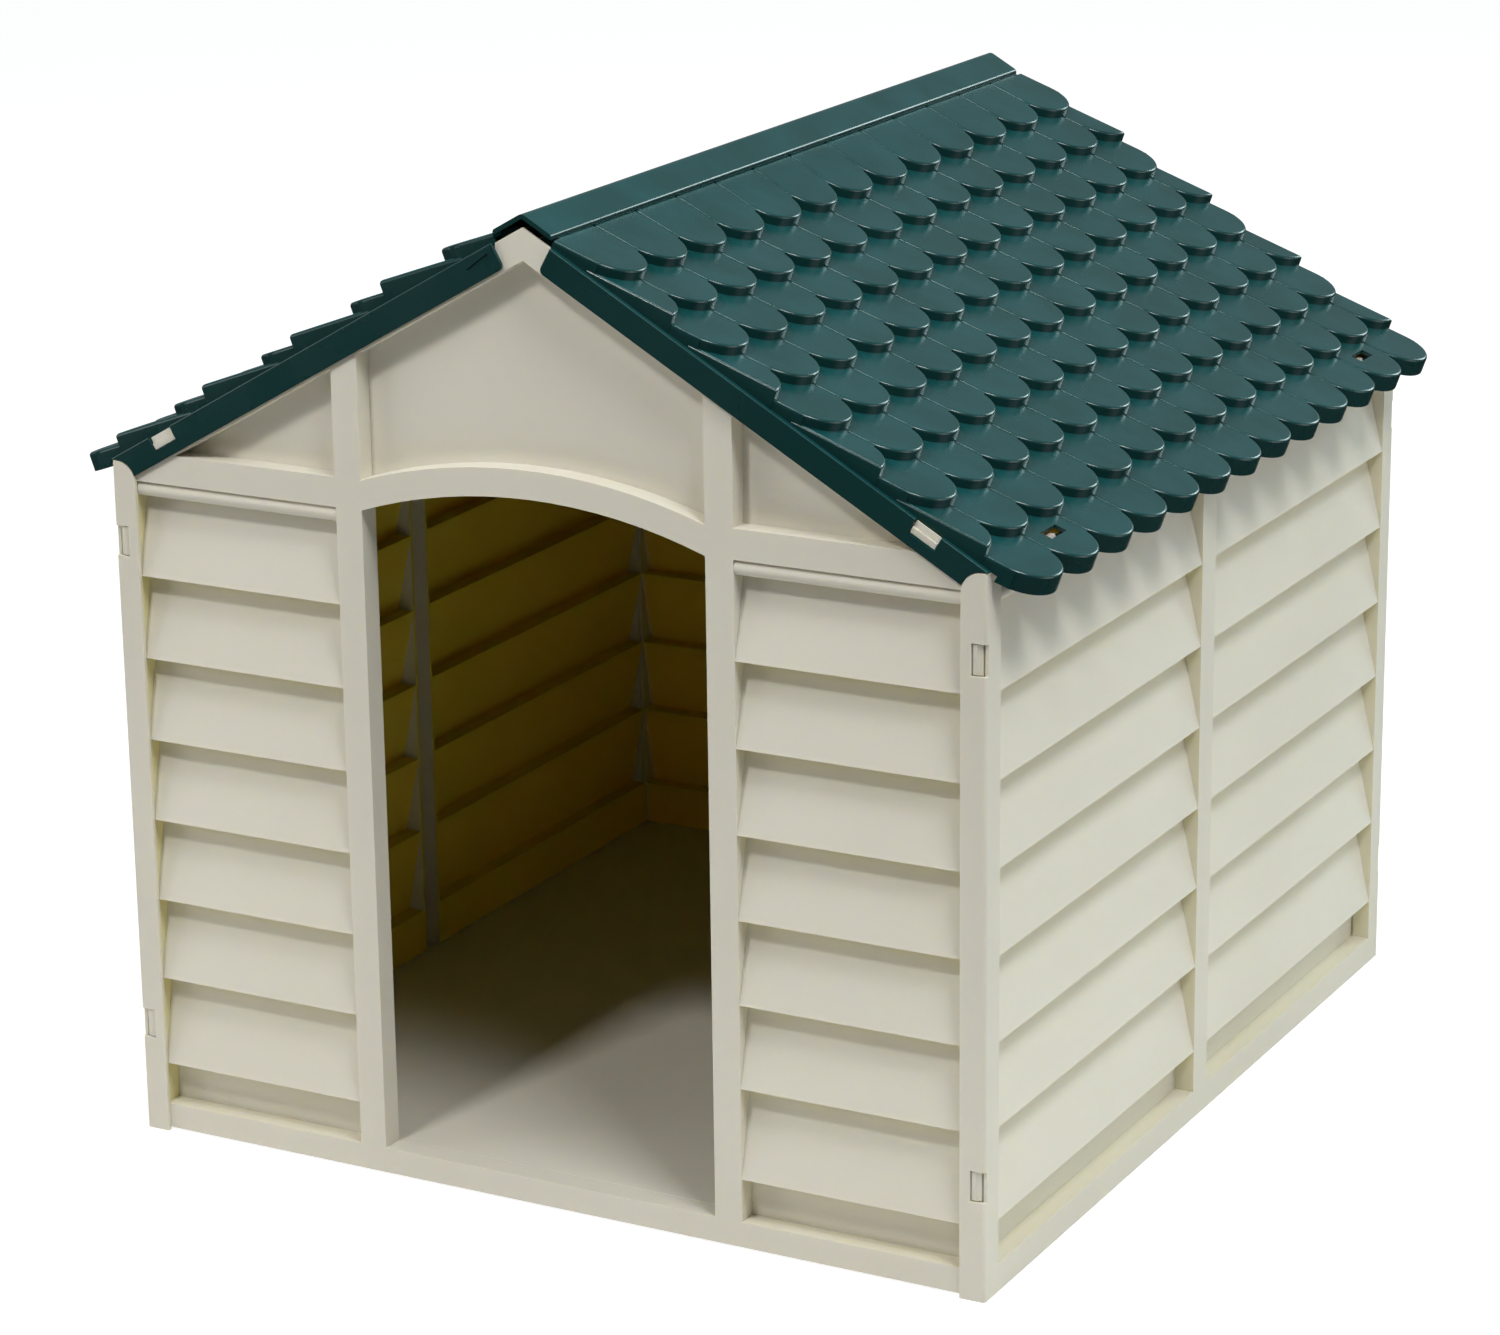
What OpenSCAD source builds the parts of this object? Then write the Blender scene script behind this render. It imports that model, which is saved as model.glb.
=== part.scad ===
// Snap-together plastic animal house: louvred walls, arched doorway and a fish-scale roof.
// The front gable faces -Y, +Z is up, and the origin is the middle of the footprint on the ground.

/* [Body] */
// Width over the outer faces of the corner posts
body_w = 650; // [560:2:760]
// Depth over the outer faces of the corner posts
body_d = 704; // [620:4:860]
// Height of the corner posts
post_h = 483; // [460:1:540]
// Width of a corner post on the gable side
post_front_w = 18; // [14:1:22]
// Width of a corner post on the louvred side
post_side_w = 20; // [16:1:26]

/* [Walls] */
// Thickness of the moulded wall skin
skin = 2.5; // [2:0.5:3]
// Depth of the recessed fields on the gable walls
relief = 14.2; // [10:0.1:14.2]
// Depth of the louvred bays on the side walls
side_relief = 14; // [9:0.5:14]
// Width of the stiles beside the doorway
stile_w = 20; // [14:1:26]
// Width of the middle stile on the louvred sides
side_stile_w = 23; // [16:1:30]
// Height of the bottom rail
rail_h = 20; // [16:1:26]
// Height from one slat's lip to the next
slat_pitch = 58; // [50:1:62]
// Slats in each louvred field
slats = 7; // [5:1:7]

/* [Doorway] */
// Clear width of the doorway
door_w = 256; // [200:2:300]
// Height at which the arch springs from the door stiles
spring_h = 470; // [450:1:500]
// Radius of the arch over the doorway
arch_r = 387; // [300:1:450]

/* [Roof] */
// Slope of the roof
pitch = 29.7; // [27:0.1:32]
// Shingles in a full row
shingles = 13; // [9:1:15]
// Rows of shingles from ridge to eave
rows = 9; // [7:1:9]
// Distance from one row's tips to the next, along the slope
row_pitch = 41.4; // [38:0.1:43]
// Angle by which a shingle leans up from the roof's slope
shingle_tilt = 9.7; // [8:0.1:11]

/* [Hidden] */
$fn = 64;

cream = "#d8d3bf";
green = "#1f4a44";
eps = 0.1;

// Corner posts and the end walls that slide in behind their flanges
flange_t = 2.8;
plate_gap = 0.2;
post_round = 14;
post_edge = 2.5;
end_face = body_d / 2 - flange_t - plate_gap;
end_gap = 1;
end_half_w = body_w / 2 - skin - end_gap;
ground_gap = 2;
wall_depth = relief + skin;
side_depth = side_relief + skin;
side_top = post_h - 2;
field_x = body_w / 2 - post_front_w + 2;
web_x = field_x + skin + 0.5;
snap_z = [79, 427.5];
snap_w = 8;
snap_h = 21;
snap_x = body_w / 2 - 6.8;
snap_play = 0.8;
snap_rise = flange_t - 0.4;
hook_len = 19;
hook_foot = 12;
hook_barb = 4;
hook_rise = 5;

// Louvres: the lowest slat is the tall one, over a flat strip
strip_top = 50;
bead_h = 11;
bead_top = spring_h;
bead_foot = bead_top - bead_h;
top_lip = bead_foot - slat_pitch + 2.5;
slat_lips = [for (i = [0 : slats - 1]) i == 0 ? strip_top : top_lip - (slats - 1 - i) * slat_pitch];
lip_set = 0.3;
lip_t = 3.4;
bead_gap = 0.2;

// Doorway and gable
rail_face = 20.5;
cross_top = bead_top + rail_face;
arch_z = spring_h - sqrt(arch_r * arch_r - door_w * door_w / 4);
arch_outer_r = arch_r + 19.2;
stile_outer = door_w / 2 + stile_w;
rise = tan(pitch);
gable_top = post_h + rise * body_w / 2;
rake_drop = 21;
rake_clear = 3.4;
apex_half_w = 20;

// Roof, worked out in a frame that lies along the slope: u down the slope, w square to it
tip_lift = 14.2;
tip_plane_z = gable_top + tip_lift / cos(pitch);
first_tip = 83;
field_margin = 4;
field_d = body_d - 2 * field_margin;
shingle_w = field_d / shingles;
shingle_gap = 0.8;
tip_r = (shingle_w - shingle_gap) / 2;
notch = 19;
row_len = 66;
top_row_len = 68.5;
slab_t = 13;
roof_skin = 2.5;
under_w = -tip_lift + 0.5;
rim_w = under_w + 0.5;
rim_t = 2.5;
fascia_t = flange_t;
fascia_h = 17.9;
fascia_start = 32.4;
fascia_round = 4;
window_u = 336;
window_len = 20.5;
window_w = 10.4;
slot_len = 22;
slot_w = 8.5;
slot_back = 31;
slot_y = field_d / 2 - 1.5 * shingle_w;
post_clear = 0.8;
corner_u = 31;
corner_len = 8;

// Ridge cap
cap_t = 3;
cap_top = gable_top + 9.2;
cap_half_w = 21.5;
cap_gap = 1;
cap_len = field_d - 7;
cap_leg_x = 3;
cap_leg_t = 2;
cap_leg_h = 14;
cap_leg_len = 60;
cap_legs = 4;

// Floor
floor_clear = 0.5;
floor_ribs = 8;
rib_t = 2.5;

// Height of the roof's wall line over a distance from the middle
function rake_z(x, drop = 0) = gable_top - drop - rise * abs(x);

// ---------- louvres ----------

// Height at which a slat's back ends: the next slat's lip, or the bead over the top one
function slat_head(i) = i < slats - 1 ? slat_lips[i + 1] : bead_foot;

// One louvred field seen from its end: x goes back from the frame's face, y goes up.
// The skin has the same thickness all over, so the slats show from both sides.
function louvre_outer(depth) = concat(
    [[depth, rail_h - eps], [depth, strip_top]],
    [for (i = [0 : slats - 1]) each [[lip_set, slat_lips[i]], [depth, slat_head(i)]]]
);

function louvre_inner(depth) = concat(
    [for (i = [slats - 1 : -1 : 0]) each [
        [depth + skin, slat_head(i) + (i < slats - 1 ? skin : 0)],
        [lip_t, slat_lips[i] + skin]
    ]],
    [[depth + skin, strip_top + skin], [depth + skin, rail_h - eps]]
);

module louvre_profile(depth) {
    bead_r = bead_h / 2 - bead_gap;
    bead_z = bead_top - bead_h / 2;
    polygon(concat(louvre_outer(depth), louvre_inner(depth)));
    // Bead under the top rail, on a web, with a groove above and below it
    translate([lip_set + bead_r, bead_z]) circle(r = bead_r);
    translate([bead_r, bead_z - skin / 2]) square([depth + skin - bead_r, skin]);
    translate([depth, bead_foot - eps]) square([skin, bead_h + 2 * eps]);
}

// Louvres on an end wall between two distances from the middle; y goes back from the wall's face
module end_louvres(x0, x1) {
    translate([x0, 0, 0])
        rotate([90, 0, 90])
            linear_extrude(x1 - x0) louvre_profile(relief);
}

// ---------- end walls ----------

// The outline of an end wall below its raking top
module end_outline() {
    tip = rake_z(apex_half_w);
    polygon([
        [-end_half_w, ground_gap], [end_half_w, ground_gap],
        [end_half_w, rake_z(end_half_w, rake_clear)],
        [apex_half_w, rake_z(apex_half_w, rake_clear)], [apex_half_w, tip],
        [0, gable_top],
        [-apex_half_w, tip], [-apex_half_w, rake_z(apex_half_w, rake_clear)],
        [-end_half_w, rake_z(end_half_w, rake_clear)]
    ]);
}

// Arched doorway, grown on every side by g
module doorway(g = 0) {
    half = door_w / 2 + g;
    intersection() {
        translate([-half, rail_h - g]) square([2 * half, post_h]);
        translate([0, arch_z]) circle(r = arch_r + g, $fn = 128);
    }
}

// Openings for the louvres, grown on every side by g
module louvre_fields(with_middle, g = 0) {
    for (s = [-1, 1])
        translate([s > 0 ? stile_outer - g : -field_x - g, rail_h - g])
            square([field_x - stile_outer + 2 * g, bead_top - rail_h + 2 * g]);
    if (with_middle)
        translate([-door_w / 2 - g, rail_h - g])
            square([door_w + 2 * g, bead_top - rail_h + 2 * g]);
}

// Recessed fields in the gable, grown on every side by g
module gable_fields(arched, g = 0) {
    foot = cross_top - g;
    drop = rake_drop - g / cos(pitch);
    inner = stile_outer - g;
    outer = (gable_top - drop - foot) / rise;
    for (s = [-1, 1])
        polygon([[s * inner, foot], [s * outer, foot], [s * inner, rake_z(inner, drop)]]);
    half = door_w / 2 + g;
    difference() {
        polygon([
            [-half, foot], [half, foot], [half, rake_z(half, drop)],
            [0, rake_z(0, drop)], [-half, rake_z(half, drop)]
        ]);
        if (arched) translate([0, arch_z]) circle(r = arch_outer_r - g, $fn = 128);
    }
}

module wall_openings(has_door, g = 0) {
    louvre_fields(!has_door, g);
    gable_fields(has_door, g);
    if (has_door) doorway(g);
}

// Wedge that springs into a window: proud over one half of its width, lower over the other,
// which starts at the height mid and falls away
module snap_wedge(window_length, window_width, mid) {
    len = window_length - 2 * snap_play;
    half = window_width / 2 - snap_play;
    translate([-len / 2, 0, -eps])
        rotate([90, 0, 90])
            linear_extrude(len)
                polygon([
                    [-half, 0], [half, 0], [half, snap_rise / 3], [0, mid],
                    [0, snap_rise], [-half, snap_rise - 0.4]
                ]);
}

// An end wall with its face at y = 0 and its back toward +Y
module end_wall(has_door) {
    // Frame: rails, stiles and the arch
    rotate([90, 0, 0])
        translate([0, 0, -skin])
            linear_extrude(skin)
                difference() {
                    end_outline();
                    wall_openings(has_door);
                }
    // Walls around every opening
    rotate([90, 0, 0])
        translate([0, 0, -wall_depth])
            linear_extrude(wall_depth)
                intersection() {
                    end_outline();
                    difference() {
                        wall_openings(has_door, skin);
                        wall_openings(has_door);
                    }
                }
    // Back of the gable fields
    rotate([90, 0, 0])
        translate([0, 0, -wall_depth])
            linear_extrude(skin) gable_fields(has_door, eps);
    // Louvres
    end_louvres(-field_x - eps, -stile_outer + eps);
    end_louvres(stile_outer - eps, field_x + eps);
    if (!has_door) end_louvres(-door_w / 2 - eps, door_w / 2 + eps);
    // Returns behind the corner posts
    for (s = [-1, 1])
        translate([s > 0 ? end_half_w - skin : -end_half_w, 0, ground_gap])
            cube([skin, relief - skin - 1, post_h - post_round - ground_gap]);
    // Snap wedges for the corner posts and for the roof
    for (s = [-1, 1]) {
        for (z = snap_z)
            translate([s * snap_x, 0, z])
                rotate([90, s * 90, 0]) snap_wedge(snap_h, snap_w, snap_rise - 0.3);
        mirror([s < 0 ? 1 : 0, 0, 0]) on_slope()
            translate([window_u, 0, rim_w - window_w / 2])
                rotate([90, 0, 0]) snap_wedge(window_len, window_w, snap_rise / 2);
    }
}

module front_wall() {
    color(cream) translate([0, -end_face, 0]) end_wall(true);
}

module back_wall() {
    color(cream) rotate([0, 0, 180]) translate([0, -end_face, 0]) end_wall(false);
}

// ---------- side walls ----------

// Flange of a corner post on the gable side, in x and z, grown by g
module post_flange(g = 0) {
    x0 = body_w / 2 - post_front_w - g;
    top = post_h + g;
    round_r = post_round + g;
    translate([x0, 0]) square([post_front_w + g, top - round_r]);
    translate([x0 + round_r, 0]) square([post_front_w + g - round_r, top]);
    intersection() {
        translate([x0 + round_r, top - round_r]) circle(r = round_r);
        translate([x0, 0]) square([round_r, top]);
    }
}

// What the rounded edge of a corner post takes off, in plan
module post_edge_cut() {
    translate([body_w / 2 - post_edge, post_edge - body_d / 2])
        difference() {
            translate([0, -post_edge - 1]) square(post_edge + 1);
            circle(r = post_edge + eps);
        }
}

// One half of a side wall, from its middle to the corner post at -Y
module side_half() {
    x = body_w / 2;
    half = body_d / 2;
    inner = half - post_side_w;
    mid = side_stile_w / 2;
    // Corner post: gable flange and side face, with a rounded edge and the snap windows cut
    // through that edge, then the web beside the louvres
    difference() {
        union() {
            translate([0, flange_t - half, 0]) rotate([90, 0, 0]) linear_extrude(flange_t) post_flange();
            translate([x - skin, -half, 0]) cube([skin, post_side_w, post_h]);
        }
        translate([0, 0, -1]) linear_extrude(post_h + 2) post_edge_cut();
        for (z = snap_z)
            translate([snap_x - snap_w / 2, -half - 1, z - snap_h / 2])
                cube([snap_w + post_front_w, flange_t + plate_gap + 1, snap_h]);
    }
    translate([web_x, -inner - skin, 0]) cube([x - web_x, skin, side_top]);
    // Louvred bay
    translate([x, -mid + eps, 0])
        mirror([1, 0, 0])
            rotate([90, 0, 0])
                linear_extrude(inner - mid + 2 * eps) louvre_profile(side_relief);
    // Half of the middle stile with its web
    translate([x - skin, -mid, 0]) cube([skin, mid + eps, side_top]);
    translate([x - side_depth, -mid, 0]) cube([side_depth, skin, side_top]);
    // Bottom and top rails, each with the ledge that closes the louvres
    for (rail = [[0, rail_h, rail_h - skin], [bead_top, side_top, bead_top]]) {
        translate([x - skin, skin - half, rail[0]]) cube([skin, half - skin + eps, rail[1] - rail[0]]);
        translate([x - side_depth, -inner - eps, rail[2]]) cube([side_depth, inner + 2 * eps, skin]);
    }
    // Hook under the slot in the eave row
    translate([x, hook_len / 2 - slot_y, side_top - hook_foot])
        rotate([90, 0, 0])
            linear_extrude(hook_len) hook_profile();
}

// Tongue that rises under the roof, with its barb outward
module hook_profile() {
    tip_z = hook_foot + hook_rise;
    polygon([
        [-skin, 0], [0, 0], [0, hook_foot], [hook_barb, hook_foot], [hook_barb / 2, tip_z], [-skin, tip_z]
    ]);
}

module right_wall_body() {
    for (m = [0, 1]) mirror([0, m, 0]) side_half();
}

module right_side_wall() {
    color(cream) right_wall_body();
}

module left_side_wall() {
    color(cream) mirror([1, 0, 0]) right_wall_body();
}

// ---------- roof ----------

// Puts a shape from the slope's frame (u, y, w) into place on the right half of the roof
module on_slope() {
    translate([0, 0, tip_plane_z]) rotate([0, pitch, 0]) children();
}

// Outline of one row of shingles, with its tips at x = 0; inset shrinks it all round
module row_outline(len, half_row, inset = 0) {
    y0 = -field_d / 2 + inset;
    count = half_row ? shingles : shingles - 1;
    start = half_row ? -field_d / 2 : -field_d / 2 + shingle_w / 2;
    intersection() {
        translate([-len, y0]) square([len + 1, field_d - 2 * inset]);
        union() {
            translate([-len, y0]) square([len - notch - inset, field_d - 2 * inset]);
            for (i = [0 : count])
                translate([-tip_r, start + i * shingle_w]) circle(r = tip_r - inset);
        }
    }
}

module place_row(i) {
    translate([first_tip + i * row_pitch, 0, 0]) rotate([0, -shingle_tilt, 0]) children();
}

function row_length(i) = i == 0 ? top_row_len : row_len;

// Every row as one moulded skin, open underneath
module shingle_skin() {
    difference() {
        union() {
            for (i = [0 : rows - 1])
                place_row(i)
                    translate([0, 0, -slab_t])
                        linear_extrude(slab_t) row_outline(row_length(i), i % 2 == 1);
        }
        for (i = [0 : rows - 1])
            place_row(i)
                translate([0, 0, -3 * slab_t])
                    linear_extrude(3 * slab_t - roof_skin)
                        row_outline(row_length(i) + 5, i % 2 == 1, roof_skin);
        // Nothing hangs below the wall line until the eave is past the side wall
        translate([-50, -body_d, under_w - 60]) cube([eave_u() + 50, 2 * body_d, 60]);
    }
}

// Where the eave's skirt is clear of the side wall
function eave_u() = (body_w / 2 + 4) / cos(pitch) + (tip_lift + 0.5) * tan(pitch);

// Flat board along the gable, with its rim, snap window and the cut that clears the post
module fascia() {
    end_u = body_w / 2 / cos(pitch) + tip_lift * tan(pitch);
    difference() {
        union() {
            translate([0, -body_d / 2 + fascia_t, 0])
                rotate([90, 0, 0])
                    linear_extrude(fascia_t) {
                        translate([fascia_start, rim_w - fascia_h + fascia_round])
                            square([end_u - fascia_start, fascia_h - fascia_round]);
                        translate([fascia_start + fascia_round, rim_w - fascia_h])
                            square([end_u - fascia_start - fascia_round, fascia_h]);
                        translate([fascia_start + fascia_round, rim_w - fascia_h + fascia_round])
                            circle(r = fascia_round);
                    }
            translate([fascia_start, -body_d / 2, rim_w - rim_t])
                cube([end_u - fascia_start, field_margin + roof_skin, rim_t]);
        }
        translate([window_u - window_len / 2, -body_d / 2 - 1, rim_w - window_w])
            cube([window_len, field_margin + 1, window_w + 1]);
    }
}

module right_roof_body() {
    difference() {
        on_slope() {
            difference() {
                shingle_skin();
                for (s = [-1, 1]) {
                    // Slot over the side wall's hook
                    place_row(rows - 1)
                        translate([-slot_back - slot_w / 2, s * slot_y - slot_len / 2, -slab_t])
                            cube([slot_w, slot_len, 2 * slab_t]);
                    // Corner beside the ridge, where only the cap reaches the gable
                    translate([0, s * field_d / 2 - corner_len, -2 * slab_t])
                        cube([corner_u, 2 * corner_len, 3 * slab_t]);
                }
            }
            for (m = [0, 1]) mirror([0, m, 0]) fascia();
        }
        // Room for the rounded tops of the corner posts
        rotate([90, 0, 0]) translate([0, 0, -body_d]) linear_extrude(2 * body_d) post_flange(post_clear);
    }
}

module right_roof_panel() {
    color(green) right_roof_body();
}

module left_roof_panel() {
    color(green) mirror([1, 0, 0]) right_roof_body();
}

// Height of the cap's top face over a distance from the middle
function cap_z(x) = cap_top - rise * x;

// One half of the cap: its sloping board and the legs that spring between the roof panels
module cap_half() {
    face_y = -field_d / 2 - cap_gap;
    leg_pitch = cap_len / cap_legs;
    leg_foot = cap_z(0) - cap_t - cap_leg_h;
    under = cap_t / cos(pitch);
    translate([0, face_y + cap_len, 0])
        rotate([90, 0, 0])
            linear_extrude(cap_len)
                polygon([
                    [0, cap_z(0)], [cap_half_w, cap_z(cap_half_w)],
                    [cap_half_w, cap_z(cap_half_w) - under], [0, cap_z(0) - under]
                ]);
    for (i = [0 : cap_legs - 1])
        translate([cap_leg_x, face_y + (i + 0.5) * leg_pitch - cap_leg_len / 2, leg_foot])
            cube([cap_leg_t, cap_leg_len, cap_leg_h]);
}

module ridge_cap() {
    color(green) for (m = [0, 1]) mirror([m, 0, 0]) cap_half();
}

// ---------- floor ----------

// Tray with its rim down, so the board is level with the bottom rails
module floor_panel() {
    half_x = body_w / 2 - side_depth - floor_clear;
    half_y = end_face - wall_depth - floor_clear;
    color(cream) {
        difference() {
            translate([-half_x, -half_y, 0]) cube([2 * half_x, 2 * half_y, rail_h]);
            translate([skin - half_x, skin - half_y, -1])
                cube([2 * (half_x - skin), 2 * (half_y - skin), rail_h - skin + 1]);
        }
        // Ribs across the underside
        for (i = [1 : floor_ribs - 1])
            translate([-half_x + skin / 2, -half_y + i * 2 * half_y / floor_ribs - rib_t / 2, 0])
                cube([2 * half_x - skin, rib_t, rail_h - skin + eps]);
    }
}

floor_panel();
front_wall();
back_wall();
left_side_wall();
right_side_wall();
left_roof_panel();
right_roof_panel();
ridge_cap();
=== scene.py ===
"""Looks of the snap-together plastic kennel: cream louvred walls under a dark green shingled roof.

Lengths in the shape code are millimetres, in the part's own frame: +Z up, the doorway faces -Y.
"""

import math

import bmesh
import bpy
from mathutils import Matrix, Vector


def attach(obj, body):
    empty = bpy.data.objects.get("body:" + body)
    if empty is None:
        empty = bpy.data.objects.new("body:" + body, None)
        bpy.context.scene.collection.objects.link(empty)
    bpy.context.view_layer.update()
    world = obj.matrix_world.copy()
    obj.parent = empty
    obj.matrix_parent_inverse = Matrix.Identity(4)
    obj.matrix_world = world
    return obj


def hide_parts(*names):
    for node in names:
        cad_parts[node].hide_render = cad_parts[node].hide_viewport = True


MM = 0.001

# How far a cutter goes past what it cuts, and what keeps two faces out of one plane
CUT_PAST = 1.0
FACE_GAP = 0.01

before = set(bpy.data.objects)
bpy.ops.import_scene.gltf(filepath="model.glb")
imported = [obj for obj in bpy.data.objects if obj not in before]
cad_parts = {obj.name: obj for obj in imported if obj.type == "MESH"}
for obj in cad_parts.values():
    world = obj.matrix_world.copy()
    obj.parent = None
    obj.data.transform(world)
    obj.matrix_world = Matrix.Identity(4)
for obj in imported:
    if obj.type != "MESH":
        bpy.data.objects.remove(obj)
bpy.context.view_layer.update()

# Sizes that the roof repeats from the part's design
BODY_W = 650.0
BODY_D = 704.0
POST_H = 483.0
PITCH = math.radians(29.7)
TILT = math.radians(9.7)
RISE = math.tan(PITCH)
GABLE_TOP = POST_H + RISE * BODY_W / 2
TIP_LIFT = 14.2
TIP_PLANE_Z = GABLE_TOP + TIP_LIFT / math.cos(PITCH)
ROWS = 9
SHINGLES = 13
FIRST_TIP = 83.0
ROW_PITCH = 41.4
FIELD_MARGIN = 4.0
FIELD_D = BODY_D - 2 * FIELD_MARGIN
SHINGLE_W = FIELD_D / SHINGLES
SEAM = 0.8
TIP_R = (SHINGLE_W - SEAM) / 2
NOTCH = 19.0
ROW_LEN = 66.0
TOP_ROW_LEN = 68.5
SLAB_T = 13.0
ROOF_SKIN = 2.5
HOLLOW_BACK = 5.0
UNDER_W = 0.5 - TIP_LIFT
RIM_W = UNDER_W + 0.5
RIM_T = 2.5
FASCIA_T = 2.8
FASCIA_H = 17.9
FASCIA_START = 32.4
FASCIA_ROUND = 4.0
WINDOW_U = 336.0
WINDOW_LEN = 20.5
WINDOW_W = 10.4
SLOT_LEN = 22.0
SLOT_W = 8.5
SLOT_BACK = 31.0
SLOT_Y = FIELD_D / 2 - 1.5 * SHINGLE_W
EAVE_U = (BODY_W / 2 + 4) / math.cos(PITCH) + (TIP_LIFT + 0.5) * RISE
POST_FRONT_W = 18.0
POST_ROUND = 14.0
POST_CLEAR = 0.8
CORNER_U = 31.0
CORNER_LEN = 8.0
UNDER_REACH_U = 50.0
UNDER_REACH_W = 60.0
CAP_T = 3.0
CAP_TOP = GABLE_TOP + 9.2
CAP_HALF_W = 21.5
CAP_FACE_Y = -FIELD_D / 2 - 1
CAP_LEN = FIELD_D - 7
CAP_LEG_X = 3.0
CAP_LEG_T = 2.0
CAP_LEG_H = 14.0
CAP_LEG_LEN = 60.0
CAP_LEG_SINK = 1.0
CAP_LEGS = 4

# A finger groove in a gable board beside the ridge, which the design leaves out: the corners
# (x, z, radius) of its outline, and its depth
GRIP_OUTLINE = [(22.8, 649, 1), (25.1, 644.9, 2), (41.7, 637, 0.3), (24.2, 650.8, 1)]
GRIP_DEPTH = 0.9

# How the rim behind a gable board is set in from the board's rounded edges
RIM_SHIFT = 0.5
RIM_STEP = 0.3
RIM_BURY = 1.0

# Rounding of moulded edges
SHINGLE_EDGE = 2.2
FASCIA_EDGE = 0.7
CAP_APEX_R = 5.0
CAP_EDGE_R = 2.0
CAP_INNER_R = 1.0
CAP_FOOT_R = 0.5
WALL_EDGE = 0.8
EDGE_STEPS = 5
ARC_STEPS = 22

# Cleaning of the walls' meshes before their edges are rounded: metres and degrees
WELD = 0.00001
FLAT_ANGLE = 0.5

# The moulded panels are not quite straight: both sag between the gables, and the left-hand one
# stands up a little at its front corner beside the ridge
SAG = 7.5
SAG_START = 20.0
SAG_RAMP = 60.0
SAG_END = 400.0
SAG_POWER = 1.5
CORNER_LIFT = 4.0
LIFT_START = 14.0
LIFT_RAMP = 14.0
LIFT_LEN_U = 200.0
LIFT_LEN_Y = 250.0
SLICES = 26
TOP_SLICES = 8


# ---------- mesh helpers ----------


def new_object(name, mesh):
    """A scene object around a mesh."""
    obj = bpy.data.objects.new(name, mesh)
    bpy.context.collection.objects.link(obj)
    return obj


def mesh_of(name, bm):
    """Turns a bmesh in millimetres into a mesh in metres."""
    bmesh.ops.scale(bm, vec=(MM, MM, MM), verts=bm.verts)
    mesh = bpy.data.meshes.new(name)
    bm.to_mesh(mesh)
    bm.free()
    return mesh


def loft(bm, rings, matrix):
    """Adds a closed solid through rings of the same number of points, from its bottom to its top."""
    loops = [[bm.verts.new(matrix @ Vector(p)) for p in ring] for ring in rings]
    count = len(loops[0])
    bm.faces.new(list(reversed(loops[0])))
    bm.faces.new(loops[-1])
    for low, high in zip(loops, loops[1:]):
        for i in range(count):
            j = (i + 1) % count
            bm.faces.new((low[i], low[j], high[j], high[i]))


def boolean(target, tool, operation):
    """Applies one boolean to a target object, and removes the tool."""
    modifier = target.modifiers.new("cut", "BOOLEAN")
    modifier.operation = operation
    modifier.solver = "MANIFOLD"
    modifier.object = tool
    apply_modifiers(target)
    bpy.data.objects.remove(tool)


def apply_modifiers(obj):
    """Replaces an object's mesh with the result of its modifiers."""
    depsgraph = bpy.context.evaluated_depsgraph_get()
    mesh = bpy.data.meshes.new_from_object(obj.evaluated_get(depsgraph))
    obj.modifiers.clear()
    obj.data = mesh


def box_object(name, lo, hi, matrix=Matrix()):
    """A plain box."""
    bm = bmesh.new()
    corners = [(lo[0], lo[1]), (hi[0], lo[1]), (hi[0], hi[1]), (lo[0], hi[1])]
    loft(bm, [[(x, y, z) for x, y in corners] for z in (lo[2], hi[2])], matrix)
    return new_object(name, mesh_of(name, bm))


def prism_object(name, outline, y0, y1, matrix=Matrix()):
    """An outline in x and z, extruded along y."""
    bm = bmesh.new()
    rings = [[(x, y1, z) for x, z in outline], [(x, y0, z) for x, z in outline]]
    loft(bm, rings, matrix)
    return new_object(name, mesh_of(name, bm))


def filleted(corners):
    """An outline whose corners (x, z, radius) are rounded."""
    outline = []
    for k, (x, z, radius) in enumerate(corners):
        here = Vector((x, z))
        if radius == 0:
            outline.append((x, z))
            continue
        before = (Vector(corners[k - 1][:2]) - here).normalized()
        after = (Vector(corners[(k + 1) % len(corners)][:2]) - here).normalized()
        half = before.angle(after) / 2
        middle = here + (before + after).normalized() * (radius / math.sin(half))
        start = here + before * (radius / math.tan(half)) - middle
        stop = here + after * (radius / math.tan(half)) - middle
        for step in range(EDGE_STEPS + 1):
            outline.append(tuple(middle + start.slerp(stop, step / EDGE_STEPS) * radius))
    return outline


def smoothstep(value):
    """Rises smoothly from 0 to 1 as a value goes from 0 to 1."""
    value = min(max(value, 0), 1)
    return value * value * (3 - 2 * value)


# ---------- roof ----------

SLOPE = Matrix.Translation((0, 0, TIP_PLANE_Z)) @ Matrix.Rotation(PITCH, 4, "Y")


def row_matrix(i):
    """Places a row whose tips are at x = 0, with its top face in the plane z = 0."""
    return SLOPE @ Matrix.Translation((FIRST_TIP + i * ROW_PITCH, 0, 0)) @ Matrix.Rotation(-TILT, 4, "Y")


def shingle_outline(length, inset, side):
    """Outline of one shingle, counter-clockwise.

    side says which half there is: 0 both, 1 the half at +y, -1 the half at -y.
    """
    r = TIP_R - inset
    start = -math.pi / 2 if side <= 0 else math.asin(inset / r)
    stop = math.pi / 2 if side >= 0 else -math.asin(inset / r)
    arc = [start + (stop - start) * k / ARC_STEPS for k in range(ARC_STEPS + 1)]
    points = [(-TIP_R + r * math.cos(a), r * math.sin(a)) for a in arc]
    low_y = -r if side <= 0 else inset
    high_y = r if side >= 0 else -inset
    return [(-length, low_y), *points, (-length, high_y)]


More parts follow.
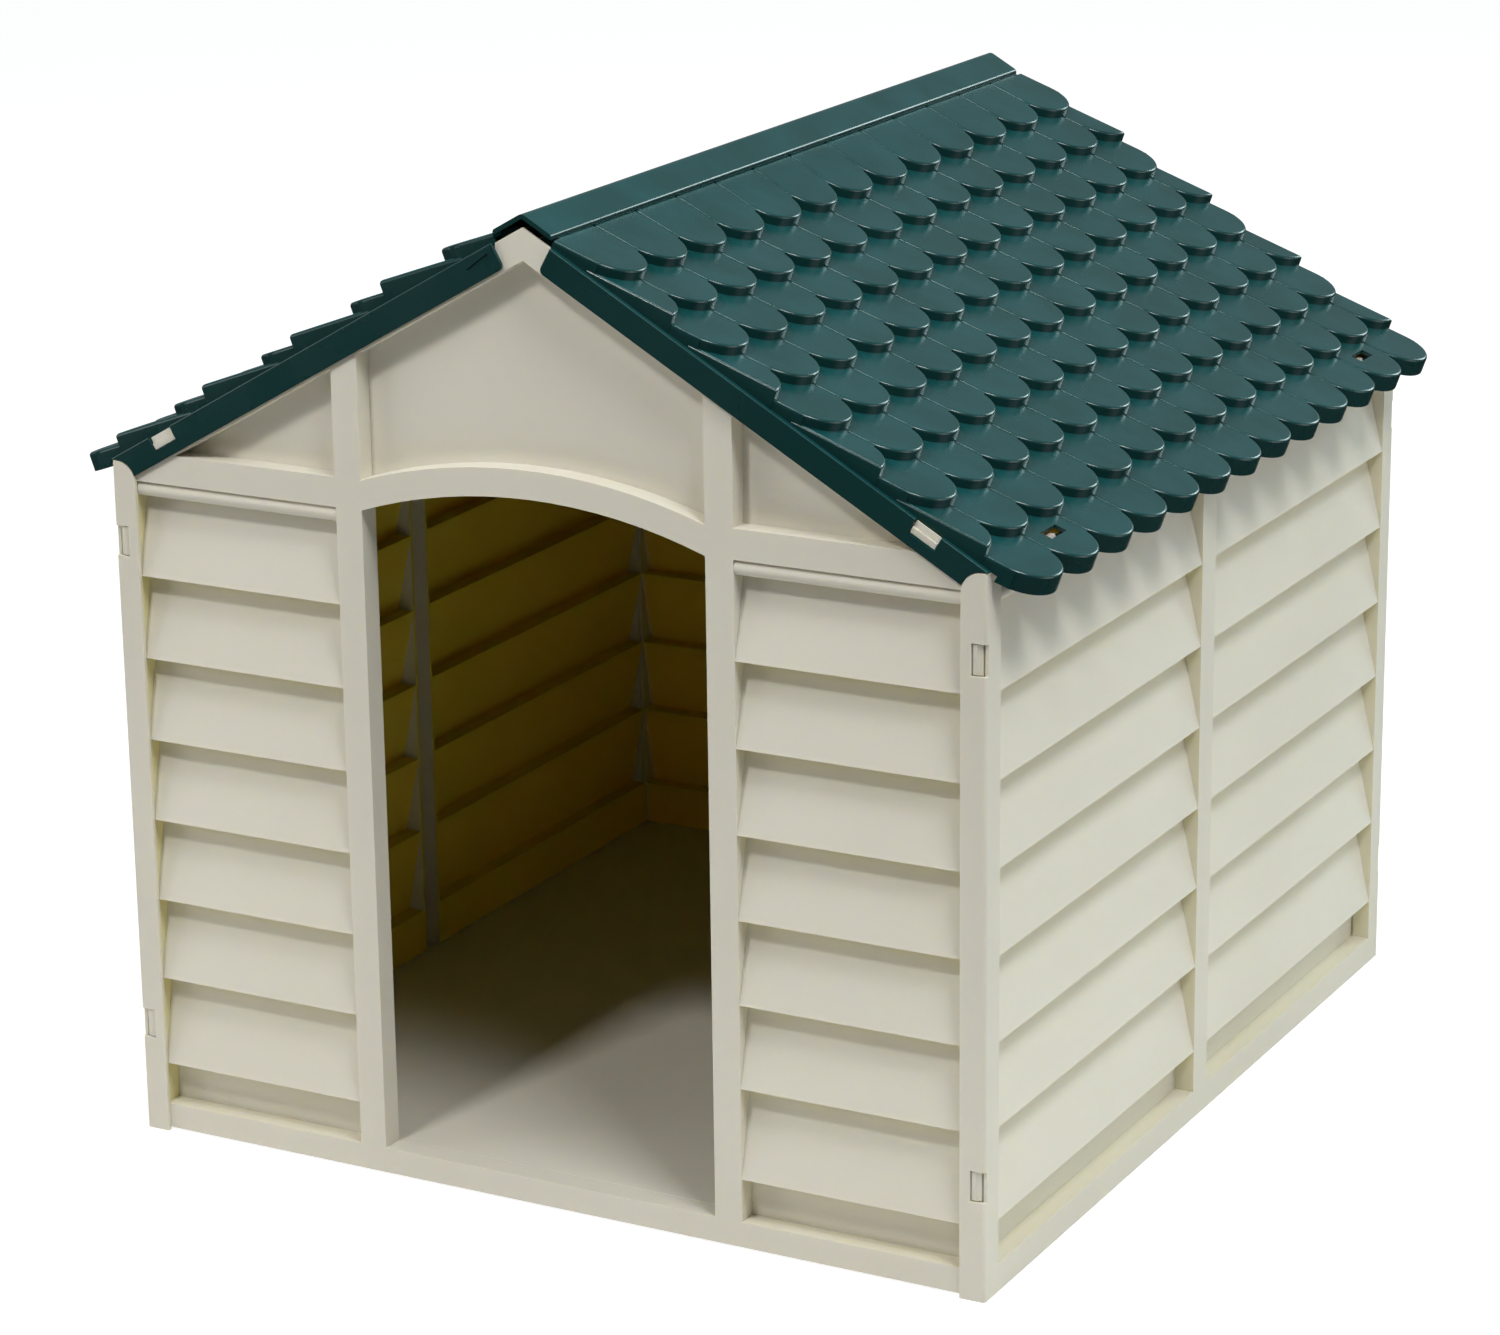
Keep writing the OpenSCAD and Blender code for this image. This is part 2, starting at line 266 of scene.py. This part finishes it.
def add_shingle(bm, i, centre, length, side):
    """One shingle with a rounded top edge and a wall square to its top."""
    levels = [(0.0, -SLAB_T)]
    for k in range(EDGE_STEPS + 1):
        angle = math.pi / 2 * k / EDGE_STEPS
        levels.append((SHINGLE_EDGE * (1 - math.cos(angle)), -SHINGLE_EDGE * (1 - math.sin(angle))))
    rings = [
        [(x, y + centre, w) for x, y in shingle_outline(length, inset, side)]
        for inset, w in levels
    ]
    loft(bm, rings, row_matrix(i))


def row_centres(i):
    """Middle of each shingle in a row, with its side: every other row starts and ends with a half."""
    if i % 2 == 0:
        return [(-FIELD_D / 2 + (k + 0.5) * SHINGLE_W, 0) for k in range(SHINGLES)]
    sides = [1] + [0] * (SHINGLES - 1) + [-1]
    return [(-FIELD_D / 2 + k * SHINGLE_W, side) for k, side in enumerate(sides)]


def row_length(i):
    """How far a row reaches back from its tips."""
    return TOP_ROW_LEN if i == 0 else ROW_LEN


def rows_object():
    """All rows of shingles, each with the web that joins its shingles behind the notches."""
    whole = None
    for i in range(ROWS):
        matrix = row_matrix(i)
        length = row_length(i)
        lo = (-length, -FIELD_D / 2 + SEAM, -SLAB_T)
        hi = (-NOTCH, FIELD_D / 2 - SEAM, -SEAM)
        web = box_object("web", lo, hi, matrix)
        for parity in (0, 1):
            bm = bmesh.new()
            for k, (centre, side) in enumerate(row_centres(i)):
                if k % 2 == parity:
                    add_shingle(bm, i, centre, length, side)
            boolean(web, new_object("shingles", mesh_of("shingles", bm)), "UNION")
        if whole is None:
            whole = web
        else:
            boolean(whole, web, "UNION")
    return whole


def row_cutter(i):
    """The hollow under one row."""
    bm = bmesh.new()
    matrix = row_matrix(i)
    length = row_length(i) + HOLLOW_BACK
    low = -3 * SLAB_T
    for centre, side in row_centres(i):
        rings = [
            [(x, y + centre, w) for x, y in shingle_outline(length, ROOF_SKIN, side)]
            for w in (low, -ROOF_SKIN)
        ]
        loft(bm, rings, matrix)
    lo = (-length, -FIELD_D / 2 + ROOF_SKIN, low - CUT_PAST)
    hi = (-NOTCH - ROOF_SKIN, FIELD_D / 2 - ROOF_SKIN, -ROOF_SKIN - FACE_GAP)
    tips = new_object("tips", mesh_of("tips", bm))
    cutter = box_object("cutter", lo, hi, matrix)
    boolean(cutter, tips, "UNION")
    return cutter


def soften(obj, width, angle=25, segments=3):
    """Rounds an object's edges, as moulding does."""
    modifier = obj.modifiers.new("soften", "BEVEL")
    modifier.width = width * MM
    modifier.segments = segments
    modifier.limit_method = "ANGLE"
    modifier.angle_limit = math.radians(angle)


def fascia_object():
    """The front gable's board with the rim behind its top edge."""
    end_u = BODY_W / 2 / math.cos(PITCH) + TIP_LIFT * RISE
    face = BODY_D / 2
    foot = RIM_W - FASCIA_H
    outline = filleted([
        (FASCIA_START, RIM_W, 0), (FASCIA_START, foot, FASCIA_ROUND),
        (end_u, foot, 0), (end_u, RIM_W, 0),
    ])
    board = prism_object("board", outline, -face, -face + FASCIA_T, SLOPE)
    soften(board, FASCIA_EDGE)
    apply_modifiers(board)
    rim_foot = RIM_W - RIM_T
    rim_top = RIM_W - RIM_STEP
    rim_start = FASCIA_START + RIM_SHIFT
    rim_outline = [(rim_start, rim_foot), (end_u, rim_foot), (end_u, rim_top), (rim_start, rim_top)]
    rim = prism_object("rim", rim_outline, -face + RIM_BURY, -face + FIELD_MARGIN + ROOF_SKIN, SLOPE)
    boolean(board, rim, "UNION")
    lo = (WINDOW_U - WINDOW_LEN / 2, -face - CUT_PAST, RIM_W - WINDOW_W)
    hi = (WINDOW_U + WINDOW_LEN / 2, -face + FIELD_MARGIN, RIM_W + CUT_PAST)
    boolean(board, box_object("window", lo, hi, SLOPE), "DIFFERENCE")
    return board


def add_fascia(roof, sign):
    """Joins a gable board to the roof; sign is -1 for the front gable and 1 for the back."""
    board = fascia_object()
    if sign > 0:
        board.data.transform(Matrix.Scale(-1, 4, (0, 1, 0)))
        board.data.flip_normals()
    boolean(roof, board, "UNION")


def post_object():
    """Room for the corner posts' rounded tops."""
    x0 = BODY_W / 2 - POST_FRONT_W - POST_CLEAR
    top = POST_H + POST_CLEAR
    right = BODY_W / 2
    rounding = POST_ROUND + POST_CLEAR
    outline = filleted([(x0, 0, 0), (right, 0, 0), (right, top, 0), (x0, top, rounding)])
    return prism_object("posts", outline, -BODY_D, BODY_D)


def grip_object(sign):
    """The leaf-shaped finger groove in the face of a board, beside the ridge."""
    face = sign * BODY_D / 2
    return prism_object("grip", filleted(GRIP_OUTLINE), face - GRIP_DEPTH, face + GRIP_DEPTH)


def roof_object():
    """The right-hand roof panel, straight, as one closed mesh."""
    roof = rows_object()
    for i in range(ROWS):
        boolean(roof, row_cutter(i), "DIFFERENCE")
    lo = (-UNDER_REACH_U, -BODY_D, UNDER_W - UNDER_REACH_W)
    boolean(roof, box_object("under", lo, (EAVE_U, BODY_D, UNDER_W), SLOPE), "DIFFERENCE")
    for side in (-1, 1):
        y = side * SLOT_Y
        lo = (-SLOT_BACK - SLOT_W / 2, y - SLOT_LEN / 2, -SLAB_T)
        hi = (-SLOT_BACK + SLOT_W / 2, y + SLOT_LEN / 2, SLAB_T)
        boolean(roof, box_object("slot", lo, hi, row_matrix(ROWS - 1)), "DIFFERENCE")
        y = side * FIELD_D / 2
        lo = (0, y - CORNER_LEN, -2 * SLAB_T)
        hi = (CORNER_U, y + CORNER_LEN, SLAB_T)
        boolean(roof, box_object("corner", lo, hi, SLOPE), "DIFFERENCE")
        add_fascia(roof, side)
    boolean(roof, post_object(), "DIFFERENCE")
    return roof


def slice_roof(bm):
    """Cuts across a straight panel, so that it has points wherever it bends."""
    cuts = [((0, FIELD_D * (k / SLICES - 0.5), 0), (0, 1, 0)) for k in range(1, SLICES)]
    for k in range(TOP_SLICES + 1):
        place = SLOPE @ Vector((SAG_START + SAG_RAMP * k / TOP_SLICES, 0, 0))
        cuts.append((place, SLOPE.to_3x3() @ Vector((1, 0, 0))))
    for place, normal in cuts:
        geometry = [*bm.verts, *bm.edges, *bm.faces]
        bmesh.ops.bisect_plane(bm, geom=geometry, dist=1e-6, plane_co=Vector(place) * MM, plane_no=normal)


def bent(point, lifted):
    """Where a point of a straight panel lies on the real, slightly sagging one."""
    u, y, w = point
    across = max(1 - (2 * y / FIELD_D) ** 2, 0)
    along = max(1 - (max(u, 0) / SAG_END) ** SAG_POWER, 0)
    w -= SAG * across * along * smoothstep((u - SAG_START) / SAG_RAMP)
    if lifted:
        fade = max(1 - u / LIFT_LEN_U, 0) * max(1 - (y + BODY_D / 2) / LIFT_LEN_Y, 0)
        height = min(max((w - UNDER_W) / TIP_LIFT, 0), 1)
        w += CORNER_LIFT * fade * height * smoothstep((u - LIFT_START) / LIFT_RAMP)
    return u, y, w


def roof_panel(name, straight, grip_sign, lifted=False):
    """A panel bent like the real one; lifted raises its front corner beside the ridge."""
    roof = new_object(name, straight.data.copy())
    boolean(roof, grip_object(grip_sign), "DIFFERENCE")
    bm = bmesh.new()
    bm.from_mesh(roof.data)
    slice_roof(bm)
    back = SLOPE.inverted()
    for vert in bm.verts:
        vert.co = SLOPE @ Vector(bent(back @ (vert.co / MM), lifted)) * MM
    bm.to_mesh(roof.data)
    bm.free()
    return roof


def cap_object():
    """The ridge cap: a bent board with rounded edges, and the legs that spring between the panels."""
    under = CAP_T / math.cos(PITCH)
    low = CAP_TOP - RISE * CAP_HALF_W
    outline = filleted([
        (0, CAP_TOP, CAP_APEX_R),
        (-CAP_HALF_W, low, CAP_EDGE_R), (-CAP_HALF_W, low - under, CAP_FOOT_R),
        (0, CAP_TOP - under, CAP_INNER_R),
        (CAP_HALF_W, low - under, CAP_FOOT_R), (CAP_HALF_W, low, CAP_EDGE_R),
    ])
    cap = prism_object("ridge_cap", outline, CAP_FACE_Y, CAP_FACE_Y + CAP_LEN)
    for k in range(CAP_LEGS):
        middle = CAP_FACE_Y + (k + 0.5) * CAP_LEN / CAP_LEGS
        for side in (-1, 1):
            x = side * (CAP_LEG_X + CAP_LEG_T / 2)
            lo = (x - CAP_LEG_T / 2, middle - CAP_LEG_LEN / 2, CAP_TOP - CAP_T - CAP_LEG_H)
            hi = (x + CAP_LEG_T / 2, middle + CAP_LEG_LEN / 2, CAP_TOP - CAP_T - CAP_LEG_SINK)
            boolean(cap, box_object("leg", lo, hi), "UNION")
    return cap


def finish_shading(obj, angle=32):
    """Smooth shading, with creases kept sharp and flat faces kept flat."""
    obj.data.shade_smooth()
    obj.data.set_sharp_from_angle(angle=math.radians(angle))
    weighted = obj.modifiers.new("weighted", "WEIGHTED_NORMAL")
    weighted.keep_sharp = True
    weighted.weight = 90


def mirrored(obj, name):
    """A copy of an object on the other side of x = 0."""
    mesh = obj.data.copy()
    mesh.transform(Matrix.Scale(-1, 4, (1, 0, 0)))
    mesh.flip_normals()
    return new_object(name, mesh)


# ---------- materials ----------

# Where the walls' inner faces, posts and ledges are, in metres
SIDE_INNER_X = 0.3075
END_INNER_Y = 0.3322
POST_BACK_Y = 0.34
WALL_FACE_Y = 0.3465
LEDGE_LOW = 0.045
LEDGE_HIGH = 0.455
LEDGE_FACING = 0.5

# How strongly the louvres' reveals get the painted shade of the inner faces, in the end walls and in the
# side walls
END_REVEAL_SHADE = 0.42
SIDE_REVEAL_SHADE = 0.3
SHADE_FROM = 0.2
SHADE_TO = 0.7

CREAM_DARK = (0.72, 0.68, 0.57, 1)
CREAM_LIGHT = (0.75, 0.715, 0.605, 1)
# Painted shade: olive laid on the inner faces, reveals and ledges, for the shade there and the light that
# comes through the plastic
PAINTED_SHADE_DARK = (0.72, 0.61, 0.05, 1)
PAINTED_SHADE_LIGHT = (0.78, 0.67, 0.08, 1)
GREEN_DARK = (0.003, 0.031, 0.029, 1)
GREEN_LIGHT = (0.005, 0.041, 0.038, 1)
# Painted sheen: a lighter, bluer green on what faces up, for the light that it reflects
PAINTED_SHEEN_DARK = (0.004, 0.052, 0.051, 1)
PAINTED_SHEEN_LIGHT = (0.007, 0.068, 0.07, 1)


def principled(name):
    """A new node material, with its shader."""
    material = bpy.data.materials.new(name)
    material.use_nodes = True
    return material, material.node_tree.nodes["Principled BSDF"]


def noise(tree, scale, detail, roughness=0.5):
    """Noise over the piece's own coordinates."""
    coords = tree.nodes.get("coords") or tree.nodes.new("ShaderNodeTexCoord")
    coords.name = "coords"
    node = tree.nodes.new("ShaderNodeTexNoise")
    node.inputs["Scale"].default_value = scale
    node.inputs["Detail"].default_value = detail
    node.inputs["Roughness"].default_value = roughness
    tree.links.new(coords.outputs["Object"], node.inputs["Vector"])
    return node


def ramp(tree, source, low, high, from_=0.35, to=0.65):
    """Maps a noise to a range of colours."""
    node = tree.nodes.new("ShaderNodeValToRGB")
    node.color_ramp.elements[0].position = from_
    node.color_ramp.elements[1].position = to
    node.color_ramp.elements[0].color = low
    node.color_ramp.elements[1].color = high
    tree.links.new(source.outputs["Fac"], node.inputs["Fac"])
    return node


def grey(value):
    """A colour without a hue."""
    return (value, value, value, 1)


def bump(tree, source, distance, strength, below=None):
    """A bump from a noise, on top of the bump below it."""
    node = tree.nodes.new("ShaderNodeBump")
    node.inputs["Distance"].default_value = distance
    node.inputs["Strength"].default_value = strength
    tree.links.new(source.outputs["Fac"], node.inputs["Height"])
    if below is not None:
        tree.links.new(below.outputs["Normal"], node.inputs["Normal"])
    return node


def mix(tree, factor, low, high):
    """Blends two colours, each a constant or a node's result, by a node's result."""
    node = tree.nodes.new("ShaderNodeMix")
    node.data_type = "RGBA"
    tree.links.new(factor, node.inputs["Factor"])
    for socket, value in zip((node.inputs[6], node.inputs[7]), (low, high)):
        if isinstance(value, tuple):
            socket.default_value = value
        else:
            tree.links.new(value, socket)
    return node.outputs[2]


def map_range(tree, value, from_, to):
    """A smooth step from 0 to 1 between two values."""
    node = tree.nodes.new("ShaderNodeMapRange")
    node.interpolation_type = "SMOOTHSTEP"
    node.inputs["From Min"].default_value = from_
    node.inputs["From Max"].default_value = to
    tree.links.new(value, node.inputs["Value"])
    return node.outputs["Result"]


def split(tree, vector):
    """The X, Y and Z of a node's result."""
    node = tree.nodes.new("ShaderNodeSeparateXYZ")
    tree.links.new(vector, node.inputs["Vector"])
    return node.outputs


def upward(tree, from_, to):
    """How far a surface faces up, from 0 to 1."""
    geometry = tree.nodes.new("ShaderNodeNewGeometry")
    return map_range(tree, split(tree, geometry.outputs["Normal"])["Z"], from_, to)


def calc(tree, operation, *values):
    """A math node over numbers and other nodes' results."""
    node = tree.nodes.new("ShaderNodeMath")
    node.operation = operation
    for socket, value in zip(node.inputs, values):
        if isinstance(value, (int, float)):
            socket.default_value = value
        else:
            tree.links.new(value, socket)
    return node.outputs[0]


def product(tree, result, *others):
    """The product of numbers and nodes' results."""
    for other in others:
        result = calc(tree, "MULTIPLY", result, other)
    return result


def painted_shade_mask(tree):
    """Where the painted shade goes: 1 on the inner faces of the four walls and on the ledges between the
    slats, and 0 outside; about half on the reveals of the louvres.
    """
    geometry = tree.nodes.new("ShaderNodeNewGeometry")
    place = split(tree, geometry.outputs["Position"])
    normal = split(tree, geometry.outputs["Normal"])
    far_x = calc(tree, "ABSOLUTE", place["X"])
    far_y = calc(tree, "ABSOLUTE", place["Y"])
    in_side = calc(tree, "GREATER_THAN", far_x, SIDE_INNER_X)
    in_end = calc(tree, "GREATER_THAN", far_y, END_INNER_Y)
    # Faces of the side walls and of the end walls that look inwards
    side = product(tree, calc(tree, "SIGN", place["X"]), normal["X"], -1.0, in_side)
    side = product(tree, side, calc(tree, "SUBTRACT", 1.0, product(tree, in_end, 1 - END_REVEAL_SHADE)))
    end = product(tree, calc(tree, "SIGN", place["Y"]), normal["Y"], -1.0, in_end)
    end = product(tree, end, calc(tree, "SUBTRACT", 1.0, in_side))
    # Painted shade on the reveals across the side bays
    before_post = calc(tree, "LESS_THAN", far_y, POST_BACK_Y)
    reveal_shade = product(tree, calc(tree, "ABSOLUTE", normal["Y"]), SIDE_REVEAL_SHADE, in_side, before_post)
    # Ledges between the slats, which only the inside shows, get painted shade too
    level = calc(tree, "GREATER_THAN", calc(tree, "ABSOLUTE", normal["Z"]), LEDGE_FACING)
    above = calc(tree, "GREATER_THAN", place["Z"], LEDGE_LOW)
    below = calc(tree, "LESS_THAN", place["Z"], LEDGE_HIGH)
    in_wall = calc(tree, "MAXIMUM", in_side, in_end)
    behind_face = calc(tree, "LESS_THAN", far_y, WALL_FACE_Y)
    ledge_shade = product(tree, level, above, below, in_wall, behind_face)
    found = calc(tree, "MAXIMUM", calc(tree, "ADD", side, end), calc(tree, "MAXIMUM", reveal_shade, ledge_shade))
    return map_range(tree, found, SHADE_FROM, SHADE_TO)


def cream_plastic():
    """Slightly translucent cream plastic, with olive painted shade on its inner faces.

    The olive is painted shade on the inner faces, the reveals and the ledges, tinted as the light that
    reaches them through the plastic.
    """
    material, shader = principled("cream_plastic")
    tree = material.node_tree
    outside = ramp(tree, noise(tree, scale=3, detail=4), CREAM_DARK, CREAM_LIGHT)
    painted_shade = ramp(tree, noise(tree, scale=5, detail=3), PAINTED_SHADE_DARK, PAINTED_SHADE_LIGHT)
    # The olive painted shade goes where the mask says
    colour = mix(tree, painted_shade_mask(tree), outside.outputs["Color"], painted_shade.outputs["Color"])
    tree.links.new(colour, shader.inputs["Base Color"])
    gloss = ramp(tree, noise(tree, scale=14, detail=5, roughness=0.65), grey(0.42), grey(0.52))
    tree.links.new(gloss.outputs["Color"], shader.inputs["Roughness"])
    wave = bump(tree, noise(tree, scale=9, detail=2), distance=0.001, strength=0.25)
    grain = bump(tree, noise(tree, scale=900, detail=3), distance=0.0001, strength=0.2, below=wave)
    tree.links.new(grain.outputs["Normal"], shader.inputs["Normal"])
    shader.inputs["Specular IOR Level"].default_value = 0.35
    shader.inputs["Subsurface Weight"].default_value = 0.3
    shader.inputs["Subsurface Radius"].default_value = (1.0, 0.7, 0.25)
    shader.inputs["Subsurface Scale"].default_value = 0.003
    return material


def green_plastic():
    """Dark green plastic, painted lighter and bluer where it faces up: a painted sheen for the light the
    tops reflect.
    """
    material, shader = principled("green_plastic")
    tree = material.node_tree
    tint = ramp(tree, noise(tree, scale=4, detail=4), GREEN_DARK, GREEN_LIGHT)
    painted_sheen = ramp(tree, noise(tree, scale=24, detail=4), PAINTED_SHEEN_DARK, PAINTED_SHEEN_LIGHT)
    facing = upward(tree, from_=0.35, to=0.85)
    # Painted sheen on the faces that look up
    colour = mix(tree, facing, tint.outputs["Color"], painted_sheen.outputs["Color"])
    tree.links.new(colour, shader.inputs["Base Color"])
    gloss = ramp(tree, noise(tree, scale=16, detail=3), grey(0.24), grey(0.3))
    tree.links.new(gloss.outputs["Color"], shader.inputs["Roughness"])
    wave = bump(tree, noise(tree, scale=18, detail=2), distance=0.0012, strength=0.3)
    grain = bump(tree, noise(tree, scale=700, detail=2), distance=0.0001, strength=0.08, below=wave)
    tree.links.new(grain.outputs["Normal"], shader.inputs["Normal"])
    return material


def dress(obj, material):
    """Gives every slot of a piece one material."""
    if not obj.material_slots:
        obj.data.materials.append(material)
    for used in obj.material_slots:
        used.material = material


# ---------- stage ----------


CAMERA_PLACE = (1.4447, -2.7269, 1.2249)
CAMERA_TURNS = ((28.398, "Z"), (73.0506, "X"), (-0.7204, "Z"))
CAMERA_LENS = 107.848
CAMERA_SENSOR = 36
CAMERA_FAR = 100

FLOOR_HALF = 25
BOUNCE_HALF = 1.1
BOUNCE_Z = -0.001

# Soft boxes: name, place, width and height, watts, colour
WHITE = (1, 1, 1)
COOL = (0.95, 0.97, 1)
CYAN = (0.8, 1, 1)
LIGHT_AIM = (0, 0, 0.35)
LIGHTS = (
    ("key_box", (-0.3, -1.8, 2.4), (0.3, 0.3), 22.5, WHITE),
    ("left_box", (-2.0, -1.3, 0.8), (1.5, 1.0), 13, WHITE),
    ("side_box", (1.75, -1.15, 3.2), (1.0, 1.0), 62, COOL),
    ("fill_box", (3.0, 0.6, 0.9), (1.5, 1.5), 16, COOL),
    ("top_box", (0.1, -0.1, 4.0), (0.7, 0.7), 20, WHITE),
    ("rim_box", (1.5, 3.3, 1.8), (1.3, 1.3), 48, CYAN),
)

# Studio air, and the directions between which it turns from one colour to the next
AIR_FRONT = (0.08, 0.083, 0.086, 1)
AIR_BACK = (0.25, 0.265, 0.275, 1)
AIR_LOW = grey(0.03)
AIR_SEEN = grey(1)
FRONT_Y = -0.6
BACK_Y = 0.8
LOW_Z = -0.2
HIGH_Z = 0.05


def make_camera():
    """The camera at the viewing angle that the part is judged from."""
    data = bpy.data.cameras.new("camera")
    data.lens = CAMERA_LENS
    data.sensor_width = CAMERA_SENSOR
    data.clip_end = CAMERA_FAR
    camera = bpy.data.objects.new("camera", data)
    bpy.context.collection.objects.link(camera)
    placed = Matrix.Translation(CAMERA_PLACE)
    for angle, axis in CAMERA_TURNS:
        placed = placed @ Matrix.Rotation(math.radians(angle), 4, axis)
    camera.matrix_world = placed
    bpy.context.scene.camera = camera


def area_light(name, place, size, power, colour):
    """A soft box that faces the object."""
    data = bpy.data.lights.new(name, "AREA")
    data.shape = "RECTANGLE"
    data.size, data.size_y = size
    data.energy = power
    data.color = colour
    light = bpy.data.objects.new(name, data)
    bpy.context.collection.objects.link(light)
    light.location = place
    light.rotation_euler = (Vector(LIGHT_AIM) - Vector(place)).to_track_quat("-Z", "Y").to_euler()


def floor_object(name, half, z, colour, glow, seen):
    """A pale floor: either the one that is seen, or the one that the light bounces from."""
    bm = bmesh.new()
    placed = Matrix.Translation((0, 0, z))
    bmesh.ops.create_grid(bm, x_segments=8, y_segments=8, size=half, matrix=placed)
    mesh = bpy.data.meshes.new(name)
    bm.to_mesh(mesh)
    bm.free()
    floor = new_object(name, mesh)
    material, shader = principled(name)
    shader.inputs["Base Color"].default_value = colour
    shader.inputs["Roughness"].default_value = 0.95
    shader.inputs["Emission Color"].default_value = grey(1)
    shader.inputs["Emission Strength"].default_value = glow
    dress(floor, material)
    floor.visible_camera = seen
    floor.visible_shadow = False
    floor.visible_diffuse = not seen
    floor.visible_glossy = False


def make_world():
    """Studio air: bright behind the object and dim in front of it, and white where it is seen."""
    world = bpy.data.worlds.new("world")
    world.use_nodes = True
    tree = world.node_tree
    coords = tree.nodes.new("ShaderNodeTexCoord")
    way = split(tree, coords.outputs["Generated"])
    air = mix(tree, map_range(tree, way["Y"], FRONT_Y, BACK_Y), AIR_FRONT, AIR_BACK)
    air = mix(tree, map_range(tree, way["Z"], LOW_Z, HIGH_Z), AIR_LOW, air)
    path = tree.nodes.new("ShaderNodeLightPath")
    seen = mix(tree, path.outputs["Is Camera Ray"], air, AIR_SEEN)
    tree.links.new(seen, tree.nodes["Background"].inputs["Color"])
    bpy.context.scene.world = world


def make_stage():
    """Pale floor, studio air and soft boxes."""
    floor_object("floor", FLOOR_HALF, 0, grey(0.3), glow=0.9, seen=True)
    floor_object("bounce_floor", BOUNCE_HALF, BOUNCE_Z, grey(0.75), glow=0.17, seen=False)
    make_world()
    for light in LIGHTS:
        area_light(*light)
    bpy.context.scene.view_settings.view_transform = "Standard"


# ---------- build ----------

make_camera()
make_stage()
cream = cream_plastic()
green = green_plastic()

straight_roof = roof_object()
right_roof = roof_panel("right_roof", straight_roof, 1)
lifted_roof = roof_panel("lifted_roof", straight_roof, -1, lifted=True)
left_roof = mirrored(lifted_roof, "left_roof")
bpy.data.objects.remove(straight_roof)
bpy.data.objects.remove(lifted_roof)
pieces = {"right_roof_panel": right_roof, "left_roof_panel": left_roof, "ridge_cap": cap_object()}
for node, piece in pieces.items():
    dress(piece, green)
    finish_shading(piece)
    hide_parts(node)
    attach(piece, "root")

# The walls and the floor stay as the design has them, with rounded edges
for node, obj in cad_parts.items():
    if node in pieces:
        dress(obj, green)
        continue
    dress(obj, cream)
    obj.modifiers.new("weld", "WELD").merge_threshold = WELD
    merge = obj.modifiers.new("merge", "DECIMATE")
    merge.decimate_type = "DISSOLVE"
    merge.angle_limit = math.radians(FLAT_ANGLE)
    soften(obj, WALL_EDGE)
